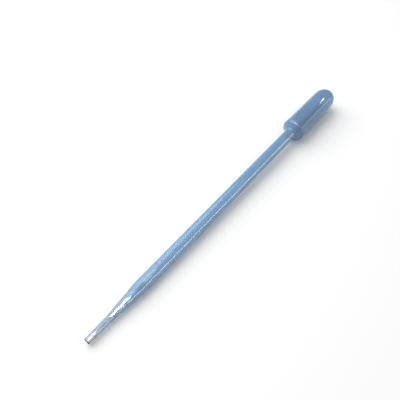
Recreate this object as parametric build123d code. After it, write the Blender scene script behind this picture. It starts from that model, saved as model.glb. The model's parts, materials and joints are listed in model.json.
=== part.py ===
from build123d import *
import math
import os

# A dropper pipette blown in one piece from soft polyethylene: outlet tip, taper, stem, shoulder and squeeze bulb.
# Millimetres. It is drawn along +X, from the cut mouth of the tip to the crown of the bulb, and then laid down.

# Lengths along the axis, in the order they follow each other from the mouth
overall_length = 300.0
tip_length = 20.0
taper_length = 27.0
shoulder_length = 5.0
bulb_length = 63.5  # from the end of the shoulder to the crown
dome_depth = 12.0  # the last part of the bulb, which closes it

# Outside diameters
mouth_diameter = 4.6
tip_root_diameter = 5.0
stem_diameter = 10.0
bulb_diameter = 20.6  # at the shoulder
dome_diameter = 19.4  # where the dome starts, so that the bulb draws in a little towards its crown

# Inside: the outlet bore and the wall, which the blowing leaves thinner where the tube is wider
outlet_bore_diameter = 3.0
stem_wall = 0.6
bulb_wall = 0.5

# Outside blend radii
tip_blend = 40.0  # hollow blend from the tip into the taper
taper_blend = 100.0  # crowned blend from the taper into the stem
shoulder_root_blend = 4.0  # hollow blend from the stem into the shoulder
shoulder_corner_blend = 4.0  # crowned blend from the shoulder into the bulb

# Pinch weld: the low bead across the crown where the mould nipped the soft tube shut
weld_length = 8.0
weld_width = 0.8
weld_height = 0.3
weld_turn = 47.0  # degrees that the weld's plane leans from upright, towards -Y at the top

# Worked out from the sizes above
stem_start = tip_length + taper_length
bulb_start = overall_length - bulb_length
shoulder_start = bulb_start - shoulder_length
dome_start = overall_length - dome_depth
tip_root_radius = tip_root_diameter / 2
stem_radius = stem_diameter / 2
bulb_radius = bulb_diameter / 2
dome_radius = dome_diameter / 2
taper_angle = math.atan2(stem_radius - tip_root_radius, taper_length)
shoulder_angle = math.atan2(bulb_radius - stem_radius, shoulder_length)
bulb_draft = math.atan2(bulb_radius - dome_radius, dome_start - bulb_start)


def half_section(outline, dome_depth_here, dome_radius_here):
    """The face between an outline, given as a wire that ends at the dome, and the axis."""
    dome = EllipticalCenterArc((dome_start, 0), dome_depth_here, dome_radius_here, start_angle=0, arc_size=90)
    axis_line = Line(outline @ 0, (0, 0)) + Line((0, 0), dome @ 0)
    return make_face(outline + dome + axis_line)


def outer_half():
    outline = FilletPolyline(
        (0, mouth_diameter / 2),
        (tip_length, tip_root_radius),
        (stem_start, stem_radius),
        (shoulder_start, stem_radius),
        (bulb_start, bulb_radius),
        (dome_start, dome_radius),
        radius=[tip_blend, taper_blend, shoulder_root_blend, shoulder_corner_blend],
    )
    return half_section(outline, dome_depth, dome_radius)


def inner_half():
    # A wall of even thickness round a bend has its inner corner further along by wall * tan(half the bend).
    stem_corner_shift = stem_wall * math.tan(taper_angle / 2)
    root_corner_shift = stem_wall * math.tan(shoulder_angle / 2)
    bulb_corner_shift = bulb_wall * math.tan((shoulder_angle + bulb_draft) / 2)
    outline = FilletPolyline(
        (0, outlet_bore_diameter / 2),
        (tip_length, outlet_bore_diameter / 2),
        (stem_start + stem_corner_shift, stem_radius - stem_wall),
        (shoulder_start + root_corner_shift, stem_radius - stem_wall),
        (bulb_start + bulb_corner_shift, bulb_radius - bulb_wall),
        (dome_start, dome_radius - bulb_wall),
        radius=[
            tip_blend,
            taper_blend - stem_wall,
            shoulder_root_blend + stem_wall,
            shoulder_corner_blend - bulb_wall,
        ],
    )
    return half_section(outline, dome_depth - bulb_wall, dome_radius - bulb_wall)


def pinch_weld():
    """A rib that stands weld_height proud of the dome, across the crown and as long as weld_length."""
    crest = Ellipse(dome_depth + weld_height, dome_radius + weld_height)
    foot = Ellipse(dome_depth - bulb_wall / 2, dome_radius - bulb_wall / 2)
    window = Pos(dome_depth, 0) * Rectangle(dome_depth, weld_length)
    rib = extrude((crest - foot) & window, weld_width / 2, both=True)
    return Pos(dome_start, 0, 0) * Rot(90 + weld_turn, 0, 0) * rib


def drawn_pipette():
    outside = revolve(outer_half(), Axis.X)
    inside = revolve(inner_half(), Axis.X)
    return outside + pinch_weld() - inside


def lying_tilt():
    """Angle of the axis when the pipette lies on its stem and bulb, in degrees.

    The ground touches the crowned blends at both ends of the stem, so it is the common tangent of two arcs.
    """
    taper_arc_x = stem_start + taper_blend * math.tan(taper_angle / 2)
    taper_arc_y = taper_blend - stem_radius
    corner_run = shoulder_corner_blend * math.tan((shoulder_angle + bulb_draft) / 2)
    corner_arc_x = bulb_start + corner_run * math.cos(bulb_draft) - shoulder_corner_blend * math.sin(bulb_draft)
    corner_arc_y = corner_run * math.sin(bulb_draft) + shoulder_corner_blend * math.cos(bulb_draft) - bulb_radius
    run = corner_arc_x - taper_arc_x
    rise = corner_arc_y - taper_arc_y
    turn = math.asin((shoulder_corner_blend - taper_blend) / math.hypot(run, rise))
    return math.degrees(turn - math.atan2(rise, run))


def lay_down(body):
    """Rests the pipette on the plane z = 0, centred over the origin, with the bulb towards +X."""
    lying = Rot(0, -lying_tilt(), 0) * body
    box = lying.bounding_box()
    placing = Pos(-box.center().X, -box.center().Y, -box.min.Z) * Rot(0, -lying_tilt(), 0)
    return placing * body, placing


def on_axis(placing, distance):
    place = placing * Pos(distance, 0, 0)
    return [round(value, 3) for value in place.position]


pipette, placing = lay_down(drawn_pipette())
pipette.label = "dropper_pipette"
os.makedirs("parts", exist_ok=True)
export_step(pipette, "parts/dropper_pipette.step")

out_of_mouth = Vector(on_axis(placing, 0)) - Vector(on_axis(placing, overall_length))
print("tilt", round(lying_tilt(), 4), "volume", round(pipette.volume, 1))
print("mouth", on_axis(placing, 0), "crown", on_axis(placing, overall_length))
print("stem middle", on_axis(placing, (stem_start + shoulder_start) / 2))
print("axis out of the mouth", [round(value, 6) for value in out_of_mouth.normalized()])
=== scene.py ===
import json
import math

import bpy
import numpy as np
from mathutils import Matrix, Vector


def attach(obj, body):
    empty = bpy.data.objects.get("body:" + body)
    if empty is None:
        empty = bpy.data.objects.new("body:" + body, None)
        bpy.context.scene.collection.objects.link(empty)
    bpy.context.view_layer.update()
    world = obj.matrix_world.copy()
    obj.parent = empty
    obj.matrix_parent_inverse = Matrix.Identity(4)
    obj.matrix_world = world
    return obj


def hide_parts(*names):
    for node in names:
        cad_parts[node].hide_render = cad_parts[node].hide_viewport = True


# A dropper pipette blown in one piece from soft low-density polyethylene. It is one skin, outside and inside
# joined at the cut mouth, turned about its own axis and then given what the mould leaves on it: a narrow
# flat along each side where the mould's halves meet, the pinch weld over the crown and the slight unevenness
# of a blown wall.

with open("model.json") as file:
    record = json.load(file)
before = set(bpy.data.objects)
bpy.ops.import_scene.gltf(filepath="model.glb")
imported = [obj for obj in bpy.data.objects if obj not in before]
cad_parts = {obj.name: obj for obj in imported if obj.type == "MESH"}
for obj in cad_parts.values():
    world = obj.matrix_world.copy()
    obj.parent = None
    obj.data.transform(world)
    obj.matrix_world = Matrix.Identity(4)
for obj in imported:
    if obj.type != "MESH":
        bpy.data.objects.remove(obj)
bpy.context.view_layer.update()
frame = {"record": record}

MM = 0.001

# ---- Sizes in millimetres, the same as the solid's ----

OVERALL_LENGTH = 300.0
TIP_LENGTH = 20.0
TAPER_LENGTH = 27.0
SHOULDER_LENGTH = 5.0
BULB_LENGTH = 63.5
DOME_DEPTH = 12.0
MOUTH_RADIUS = 2.3
TIP_ROOT_RADIUS = 2.5
STEM_RADIUS = 5.0
BULB_RADIUS = 10.3
DOME_RADIUS = 9.7
OUTLET_BORE_RADIUS = 1.5
STEM_WALL = 0.6
BULB_WALL = 0.5

# Blend radii of the outside
TIP_BLEND = 40.0
TAPER_BLEND = 100.0
SHOULDER_ROOT_BLEND = 4.0
SHOULDER_CORNER_BLEND = 4.0

STEM_START = TIP_LENGTH + TAPER_LENGTH
BULB_START = OVERALL_LENGTH - BULB_LENGTH
SHOULDER_START = BULB_START - SHOULDER_LENGTH
DOME_START = OVERALL_LENGTH - DOME_DEPTH

# ---- What the making leaves on it, in millimetres and degrees ----

PARTING_TURN = 47.0  # how far the plane between the mould's halves leans from upright, towards -Y at the top
FLAT_HALF_ANGLE = 7.0  # half of each narrow flat in that plane, as seen from the axis
FLAT_FADE = 6.0  # the flats fade in over this much of the tip
WELD_HEIGHT = 0.30
WELD_HALF_WIDTH = 0.45
WELD_HALF_LENGTH = 4.0
WELD_FADE = 1.0  # each end of the weld runs out over this much
WALL_UNEVENNESS = 0.008  # how far the blown wall strays from round, outside
INSIDE_UNEVENNESS = 1.6 * WALL_UNEVENNESS  # the inside, which no mould touches, strays more
INSIDE_SHIFT = 11.0  # how far along the inside's waves lie from the outside's
STEADY_LENGTH = 15.0  # the wall strays less this near the mouth
STEADY_RADIUS = 3.0  # and this near the axis
CUT_EDGE = 0.12  # the soft edge that the knife leaves at the mouth

# ---- How fine the skin is ----

FEWEST_BLEND_STEPS = 6
OUTSIDE_FINENESS = {"blend_spacing": 0.3, "run_spacing": 1.2, "dome_rings": 30}
INSIDE_FINENESS = {"blend_spacing": 0.4, "run_spacing": 1.8, "dome_rings": 24}
FLAT_SPOKES = (0.6, 1.2, 1.8, 2.4, 3.2, 4.2, 5.5, 7.0, 9.0)  # degrees either side of the middle of a flat
STEPS_BETWEEN_FLATS = 36


# ---- The outline of the pipette, as distance s along the axis from the mouth, and radius ----


def unit(v):
    return v / np.linalg.norm(v)


def rounded_line(corners, blends, spacing):
    """Points along straight runs with a tangent arc at each inner corner, the arcs' points spacing apart."""
    corners = [np.array(c, float) for c in corners]
    points = [corners[0]]
    for before, corner, after, blend in zip(corners, corners[1:], corners[2:], blends):
        back = unit(before - corner)
        ahead = unit(after - corner)
        half = math.acos(np.clip(back @ ahead, -1.0, 1.0)) / 2
        reach = blend / math.tan(half)
        centre = corner + unit(back + ahead) * blend / math.sin(half)
        start = corner + back * reach - centre
        end = corner + ahead * reach - centre
        turn = math.pi - 2 * half
        steps = max(FEWEST_BLEND_STEPS, math.ceil(blend * turn / spacing))
        for k in range(steps + 1):
            t = k / steps
            arm = math.sin((1 - t) * turn) * start + math.sin(t * turn) * end
            points.append(centre + arm / math.sin(turn))
    points.append(corners[-1])
    return points


def filled(points, spacing):
    """The same line with more points on its longer runs."""
    full = [points[0]]
    for a, b in zip(points, points[1:]):
        steps = max(1, math.ceil(np.linalg.norm(b - a) / spacing))
        full += [a + (b - a) * k / steps for k in range(1, steps + 1)]
    return full


def half_outline(corners, blends, dome_depth, blend_spacing, run_spacing, dome_rings):
    """From the mouth through the corners, and over the dome that starts at the last, nearly to the axis."""
    body = filled(rounded_line(corners, blends, blend_spacing), run_spacing)
    dome_start, dome_radius = corners[-1]
    angles = [math.pi / 2 * k / dome_rings for k in range(1, dome_rings)]
    dome = [np.array([dome_start + dome_depth * math.sin(a), dome_radius * math.cos(a)]) for a in angles]
    return body + dome


def outer_outline():
    corners = [
        (CUT_EDGE, MOUTH_RADIUS),
        (TIP_LENGTH, TIP_ROOT_RADIUS),
        (STEM_START, STEM_RADIUS),
        (SHOULDER_START, STEM_RADIUS),
        (BULB_START, BULB_RADIUS),
        (DOME_START, DOME_RADIUS),
    ]
    blends = [TIP_BLEND, TAPER_BLEND, SHOULDER_ROOT_BLEND, SHOULDER_CORNER_BLEND]
    return half_outline(corners, blends, DOME_DEPTH, **OUTSIDE_FINENESS)


def inner_outline():
    # A wall of even thickness round a bend has its inner corner further along by wall * tan(half the bend).
    taper_angle = math.atan2(STEM_RADIUS - TIP_ROOT_RADIUS, TAPER_LENGTH)
    shoulder_angle = math.atan2(BULB_RADIUS - STEM_RADIUS, SHOULDER_LENGTH)
    draft = math.atan2(BULB_RADIUS - DOME_RADIUS, DOME_START - BULB_START)
    corners = [
        (CUT_EDGE, OUTLET_BORE_RADIUS),
        (TIP_LENGTH, OUTLET_BORE_RADIUS),
        (STEM_START + STEM_WALL * math.tan(taper_angle / 2), STEM_RADIUS - STEM_WALL),
        (SHOULDER_START + STEM_WALL * math.tan(shoulder_angle / 2), STEM_RADIUS - STEM_WALL),
        (BULB_START + BULB_WALL * math.tan((shoulder_angle + draft) / 2), BULB_RADIUS - BULB_WALL),
        (DOME_START, DOME_RADIUS - BULB_WALL),
    ]
    blends = [
        TIP_BLEND,
        TAPER_BLEND - STEM_WALL,
        SHOULDER_ROOT_BLEND + STEM_WALL,
        SHOULDER_CORNER_BLEND - BULB_WALL,
    ]
    return half_outline(corners, blends, DOME_DEPTH - BULB_WALL, **INSIDE_FINENESS)


# ---- Where the pipette lies: its axis, taken from the mounts ----

outlet = next(m for m in frame["record"]["mounts"] if m["name"] == "outlet_bore")
OUTWARD = Vector(outlet["axis"]).normalized()
MOUTH = Vector(outlet["pos_m"]) + OUTWARD * outlet["dims"]["length_mm"] * MM / 2
ALONG = -OUTWARD
SIDE = Vector((0.0, 1.0, 0.0))
UP = ALONG.cross(SIDE).normalized()

# Angles round the axis are taken from SIDE towards UP.
PARTING_ANGLE = math.radians(90.0 + PARTING_TURN)


def spokes():
    """Angles round the axis, closer together at the two flats."""
    widest = FLAT_SPOKES[-1]
    gap = 180.0 - 2 * widest
    at_flat = [*(-d for d in reversed(FLAT_SPOKES)), 0.0, *FLAT_SPOKES]
    between = [widest + gap * k / STEPS_BETWEEN_FLATS for k in range(1, STEPS_BETWEEN_FLATS)]
    half_turn = [math.radians(d) for d in at_flat + between]
    return [PARTING_ANGLE + a for a in half_turn] + [PARTING_ANGLE + math.pi + a for a in half_turn]


def unevenness(s, angle):
    """How far a blown wall stands off from round at that place, between about -1 and 1.

    Three waves run along the wall and round it, and together they don't repeat within the pipette's length.
    """
    slow = 0.5 * math.sin(s / 23.0 + 1.3) * math.cos(2 * angle + 0.6)
    long_wave = 0.3 * math.sin(s / 61.0 + 0.4) * math.cos(3 * angle + 2.1)
    short_wave = 0.2 * math.sin(s / 9.5 + 2.0 * math.sin(s / 37.0)) * math.cos(angle - 0.8)
    return slow + long_wave + short_wave


def looseness(s, radius):
    """How freely the wall strays at that place, 0 to 1."""
    return min(1.0, s / STEADY_LENGTH) * min(1.0, radius / STEADY_RADIUS)


def mould_marks(s, radius, angle):
    """Height over the plain outline of what the mould leaves: the two narrow flats and the pinch weld."""
    off_line = math.asin(min(1.0, abs(math.sin(angle - PARTING_ANGLE))))
    half_flat = math.radians(FLAT_HALF_ANGLE)
    height = 0.0
    if off_line < half_flat:
        height = radius * (math.cos(half_flat) / math.cos(off_line) - 1.0) * min(1.0, s / FLAT_FADE)
    if s > DOME_START:
        off_plane = radius * math.sin(off_line)
        along_weld = radius * math.cos(off_line)
        bead = max(0.0, 1.0 - (off_plane / WELD_HALF_WIDTH) ** 2)
        ends = min(1.0, max(0.0, (WELD_HALF_LENGTH + WELD_FADE / 2 - along_weld) / WELD_FADE))
        height = max(height, WELD_HEIGHT * math.sqrt(bead) * ends)
    return height


def add_object(name, data):
    made = bpy.data.objects.new(name, data)
    bpy.context.scene.collection.objects.link(made)
    return made


def turned_skin():
    """The whole pipette as one closed skin."""
    outside = outer_outline()
    inside = inner_outline()
    angles = spokes()
    count = len(angles)
    slopes = np.gradient(np.array(outside), axis=0)
    vertices = []
    faces = []

    def ring(points):
        """One vertex on each spoke, each with its own distance and radius. Gives the first one's number."""
        start = len(vertices)
        for angle, (s, radius) in zip(angles, points):
            spoke = SIDE * math.cos(angle) + UP * math.sin(angle)
            vertices.append(MOUTH + ALONG * (s * MM) + spoke * (radius * MM))
        return start

    outer_rings = []
    for (s, radius), slope in zip(outside, slopes):
        out_s = -slope[1] / math.hypot(*slope)
        out_r = slope[0] / math.hypot(*slope)
        strays = WALL_UNEVENNESS * looseness(s, radius)
        points = []
        for angle in angles:
            lift = mould_marks(s, radius, angle) + strays * unevenness(s, angle)
            points.append((s + out_s * lift, radius + out_r * lift))
        outer_rings.append(ring(points))
    inner_rings = []
    for s, radius in inside:
        strays = INSIDE_UNEVENNESS * looseness(s, radius)
        points = [(s, radius + strays * unevenness(s + INSIDE_SHIFT, angle)) for angle in angles]
        inner_rings.append(ring(points))
    # The cut mouth: a flat ring with a softened edge on each side
    cut_outer = ring([(0.0, MOUTH_RADIUS - CUT_EDGE)] * count)
    cut_inner = ring([(0.0, OUTLET_BORE_RADIUS + CUT_EDGE)] * count)

    # From under the crown, out through the mouth and back over the outside to the crown
    line_of_rings = [*reversed(inner_rings), cut_inner, cut_outer, *outer_rings]
    for a, b in zip(line_of_rings, line_of_rings[1:]):
        for k in range(count):
            n = (k + 1) % count
            faces.append((a + k, a + n, b + n, b + k))
    under_crown = len(vertices)
    vertices.append(MOUTH + ALONG * ((OVERALL_LENGTH - BULB_WALL) * MM))
    crown = len(vertices)
    vertices.append(MOUTH + ALONG * ((OVERALL_LENGTH + WELD_HEIGHT) * MM))
    for k in range(count):
        n = (k + 1) % count
        faces.append((under_crown, inner_rings[-1] + n, inner_rings[-1] + k))
        faces.append((crown, outer_rings[-1] + k, outer_rings[-1] + n))

    mesh = bpy.data.meshes.new("pipette_skin")
    mesh.from_pydata([tuple(v) for v in vertices], [], faces)
    mesh.validate()
    mesh.update()
    mesh.shade_smooth()
    return add_object("pipette_skin", mesh)


# ---- Materials ----


def linear(hex_colour):
    """An sRGB hex colour as linear RGBA."""
    channels = [int(hex_colour.lstrip("#")[k:k + 2], 16) / 255 for k in (0, 2, 4)]
    straight = [c / 12.92 if c <= 0.04045 else ((c + 0.055) / 1.055) ** 2.4 for c in channels]
    return (*straight, 1.0)


def level(value):
    """A plain number in the form of a colour, for a ramp that doesn't give a colour."""
    return (value, value, value, 1.0)


def node(tree, kind, settings=None, stops=(), **inputs):
    """Adds a node. settings are its own properties, and stops a colour ramp's places and colours.

    inputs are values or other nodes' outputs. Each is named for its socket, with underscores for spaces, or
    has an underscore and the socket's number.
    """
    made = tree.nodes.new(kind)
    for name, value in (settings or {}).items():
        setattr(made, name, value)
    for k, (position, colour) in enumerate(stops):
        elements = made.color_ramp.elements
        element = elements[k] if k < len(elements) else elements.new(position)
        element.position = position
        element.color = colour
    for name, value in inputs.items():
        socket = made.inputs[int(name[1:])] if name[1:].isdigit() else made.inputs[name.replace("_", " ")]
        if isinstance(value, bpy.types.NodeSocket):
            tree.links.new(value, socket)
        else:
            socket.default_value = value
    return made


def new_material(name):
    material = bpy.data.materials.new(name)
    material.use_nodes = True
    material.node_tree.nodes.clear()
    return material, material.node_tree


# The resin's patterns, in millimetres
DRAW_MARK_SPACING = 1.0
DRAW_MARK_LENGTH = 40.0
CLOUD_SIZE = 8.333

# By the distance from the mouth in millimetres: the tint, with painted light in it, and the share of light
# that goes through. The grey at the cut edge is painted shade, for a dark rim round the mouth. The thick tip
# stays clear and nearly colourless and the stem is milky blue. The tint is paler at the tip end and deeper
# towards the
# bulb: partly painted light, for the tip end being lit brighter, and partly the bulb's thinner wall, from
# which less light is scattered back.
TINTS_AND_PAINTED_LIGHT = ((0.45, "#b0c0cc"), (1.05, "#f8fafa"), (42.0, "#cce8fa"), (84.0, "#c6e6fc"), (222.0, "#b8dcf4"),
         (246.0, "#b0d0ea"))
CLEARNESS = ((15.0, 0.93), (60.0, 0.75), (222.0, 0.75), (240.0, 0.80))


def blown_polyethylene():
    """Low-density polyethylene, blown thin: milky and see-through at once, with a waxy gloss off the mould.

    The eye sees a soft blue body, deeper where the wall is seen edge-on, a tip that is clear where the rest
    is milky, and long thin highlights that waver a little where the wall is uneven.
    """
    material, tree = new_material("blown_polyethylene")
    place = node(tree, "ShaderNodeTexCoord").outputs["Object"]
    # Draw marks: the tube is pulled down hot, which leaves faint streaks along it.
    across = 1 / (DRAW_MARK_SPACING * MM)
    streak_place = node(tree, "ShaderNodeMapping", Vector=place,
                        Scale=(1 / (DRAW_MARK_LENGTH * MM), across, across)).outputs[0]
    streaks = node(tree, "ShaderNodeTexNoise", Vector=streak_place, Scale=1.0, Detail=3.0,
                   Roughness=0.6).outputs[0]
    # Cloudiness: patches where the resin cooled slower.
    clouds = node(tree, "ShaderNodeTexNoise", Vector=place, Scale=1 / (CLOUD_SIZE * MM), Detail=2.0,
                  Roughness=0.5).outputs[0]

    # How far along from the mouth, 0 to 1
    along = node(tree, "ShaderNodeSeparateXYZ", Vector=place).outputs[0]
    half_length = OVERALL_LENGTH / 2 * MM
    reach = node(tree, "ShaderNodeMapRange", Value=along, From_Min=-half_length, From_Max=half_length,
                 To_Min=0.0, To_Max=1.0).outputs[0]
    # The tint ramp holds painted light: paler at the tip end, deeper towards the bulb, and a painted grey
    # rim at the mouth.
    tint_and_painted_light_stops = [(distance / OVERALL_LENGTH, linear(tint_and_painted_light)) for distance, tint_and_painted_light in TINTS_AND_PAINTED_LIGHT]
    body_tint_and_painted_light = node(tree, "ShaderNodeValToRGB", stops=tint_and_painted_light_stops, Fac=reach).outputs[0]

    # The draw marks and the clouds shade the tint, three parts to two.
    cloud_part = node(tree, "ShaderNodeMath", {"operation": "MULTIPLY"}, _0=clouds, _1=0.4).outputs[0]
    marks = node(tree, "ShaderNodeMath", {"operation": "MULTIPLY_ADD"}, _0=streaks, _1=0.6,
                 _2=cloud_part).outputs[0]
    shade_stops = [(0.35, linear("#f3f6f9")), (0.65, linear("#ffffff"))]
    shade = node(tree, "ShaderNodeValToRGB", stops=shade_stops, Fac=marks).outputs[0]
    tint_and_painted_light = node(tree, "ShaderNodeMix", {"data_type": "RGBA", "blend_type": "MULTIPLY"}, _0=1.0,
                _6=body_tint_and_painted_light, _7=shade).outputs[2]

    clear_stops = [(distance / OVERALL_LENGTH, level(share)) for distance, share in CLEARNESS]
    clear = node(tree, "ShaderNodeValToRGB", stops=clear_stops, Fac=reach).outputs[0]
    gloss = node(tree, "ShaderNodeMapRange", Value=clouds, From_Min=0.3, From_Max=0.7, To_Min=0.03,
                 To_Max=0.05).outputs[0]
    # The draw marks also stand off the surface, by some 0.0003 mm, so that the long highlights waver.
    ripple = node(tree, "ShaderNodeBump", Strength=0.008, Distance=0.04 * MM, Height=streaks).outputs[0]
    resin = node(tree, "ShaderNodeBsdfPrincipled", Base_Color=tint_and_painted_light, Roughness=gloss, Normal=ripple,
                 Transmission_Weight=clear, IOR=1.51).outputs[0]
    # Light that runs along inside the wall comes out deeper blue, which draws the dark rims.
    body = node(tree, "ShaderNodeVolumeAbsorption", Color=linear("#94a6c8"), Density=400.0).outputs[0]
    node(tree, "ShaderNodeOutputMaterial", Surface=resin, Volume=body)
    return material


def seen_or_mirrored(tree):
    """1 where a thing is seen, directly, mirrored or through a clear wall, and 0 where it only lights."""
    path = node(tree, "ShaderNodeLightPath").outputs
    gloss_or_clear = node(tree, "ShaderNodeMath", {"operation": "MAXIMUM"}, _0=path["Is Glossy Ray"],
                          _1=path["Is Transmission Ray"]).outputs[0]
    looked_at = node(tree, "ShaderNodeMath", {"operation": "MAXIMUM"}, _0=path["Is Camera Ray"],
                     _1=gloss_or_clear).outputs[0]
    straight = node(tree, "ShaderNodeMath", {"operation": "LESS_THAN"}, _0=path["Diffuse Depth"],
                    _1=0.5).outputs[0]
    return node(tree, "ShaderNodeMath", {"operation": "MULTIPLY"}, _0=looked_at, _1=straight).outputs[0]


def white_table():
    """A matt white table top, which takes the pipette's shadow. It is seen whiter than it lights."""
    material, tree = new_material("white_table")
    lit = node(tree, "ShaderNodeBsdfDiffuse", Color=linear("#e7e7e7")).outputs[0]
    seen = node(tree, "ShaderNodeBsdfDiffuse", Color=linear("#ffffff")).outputs[0]
    top = node(tree, "ShaderNodeMixShader", Fac=seen_or_mirrored(tree), _1=lit, _2=seen).outputs[0]
    node(tree, "ShaderNodeOutputMaterial", Surface=top)
    return material


# ---- The pipette ----

pipette = turned_skin()
pipette.data.materials.append(blown_polyethylene())
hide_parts("dropper_pipette")
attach(pipette, "root")


# ---- The table ----

TABLE_REACH = 4.0  # metres from the middle to each side

table_mesh = bpy.data.meshes.new("table_top")
table_corners = [(x * TABLE_REACH, y * TABLE_REACH, 0.0) for x, y in ((-1, -1), (1, -1), (1, 1), (-1, 1))]
table_mesh.from_pydata(table_corners, [], [(0, 1, 2, 3)])
table_mesh.materials.append(white_table())
table = add_object("table_top", table_mesh)


# ---- The light: places and sizes in metres, power in watts ----

AXIS_Z = 0.01  # the pipette's axis, about
TUBE_Z = 0.51
TUBE_NEAR_Y = -0.35
TUBE_FAR_Y = 0.20
WINDOW_HEIGHT = 0.06  # from sill to head
WINDOW_START = (-0.16, -0.55, 0.190)
SHADE_START = (0.62, -0.55, 0.199)  # from here on the window is shaded
WINDOW_END = (0.85, -0.55, 0.200)


def lamp(name, place, turn, power, shape, size, size_y=None):
    data = bpy.data.lights.new(name, "AREA")
    data.energy = power
    data.shape = shape
    data.size = size
    if size_y:
        data.size_y = size_y
    made = add_object(name, data)
    made.location = place
    made.rotation_euler = turn
    return made


def ceiling_light():
    """The one lamp that lights the pipette and the table, soft and from behind. The room adds the rest."""
    place = Vector((-0.05, 0.60, 0.80))
    aim = Vector((-0.02, 0.0, 0.0))
    turn = (aim - place).to_track_quat("-Z", "Y").to_euler()
    lamp("ceiling_light", place, turn, power=8.8, shape="DISK", size=1.3)


def strip_light(name, left, right, aim, height, radiance):
    """A lit strip from left to right that faces aim. radiance is against a white surface's 1.

    It shows in the gloss and through the clear wall. It doesn't light the table or the milk in the resin.
    """
    left = Vector(left)
    right = Vector(right)
    middle = (left + right) / 2
    length = (right - left).length
    lengthways = (right - left).normalized()
    upwards = (middle - Vector(aim)).cross(lengthways).normalized()
    turn = Matrix((lengthways, upwards, lengthways.cross(upwards))).transposed().to_euler()
    power = radiance * math.pi * length * height
    strip = lamp(name, middle, turn, power, shape="RECTANGLE", size=length, size_y=height)
    strip.visible_diffuse = False


def overhead_tube(name, x, aim_x, width, radiance):
    """A tube overhead that runs across the pipette at x."""
    near_end = (x, TUBE_NEAR_Y, TUBE_Z)
    far_end = (x, TUBE_FAR_Y, TUBE_Z)
    strip_light(name, near_end, far_end, (aim_x, 0.0, AXIS_Z), width, radiance)


def window_part(name, left, right, radiance):
    """A part of the low window, whose long reflection runs down the nearer flat."""
    strip_light(name, left, right, (0.0, 0.0, AXIS_Z), WINDOW_HEIGHT, radiance)


ceiling_light()
# A short lamp beyond the bulb, which gives the glint on its dome
strip_light("end_lamp", left=(0.572, -0.190, 0.390), right=(0.572, -0.090, 0.412), aim=(0.13, 0.0, 0.02),
            height=0.003, radiance=50.0)
overhead_tube("bright_tube", x=-0.180, aim_x=-0.12, width=0.032, radiance=34.0)
overhead_tube("dim_tube", x=-0.152, aim_x=-0.12, width=0.024, radiance=14.0)
overhead_tube("faint_tube", x=0.004, aim_x=-0.10, width=0.050, radiance=2.5)
window_part("window", WINDOW_START, SHADE_START, radiance=6.0)
window_part("shaded_window", SHADE_START, WINDOW_END, radiance=1.8)

# The pale walls and ceiling of the room
world = bpy.data.worlds.new("room")
bpy.context.scene.world = world
world.use_nodes = True
world.node_tree.nodes.clear()
room = node(world.node_tree, "ShaderNodeBackground", Color=linear("#c5c5c5"), Strength=1.0).outputs[0]
node(world.node_tree, "ShaderNodeOutputWorld", Surface=room)


# ---- The camera: over the tip's end, on the near side ----

camera_data = bpy.data.cameras.new("camera")
camera_data.lens = 35.1
camera_data.sensor_width = 36.0
camera_data.clip_start = 0.01
camera = add_object("camera", camera_data)
camera.location = (-0.1625, -0.1022, 0.2477)
camera.rotation_euler = (math.radians(37.125), math.radians(0.116), math.radians(-50.048))
bpy.context.scene.camera = camera
bpy.context.scene.view_settings.view_transform = "Standard"
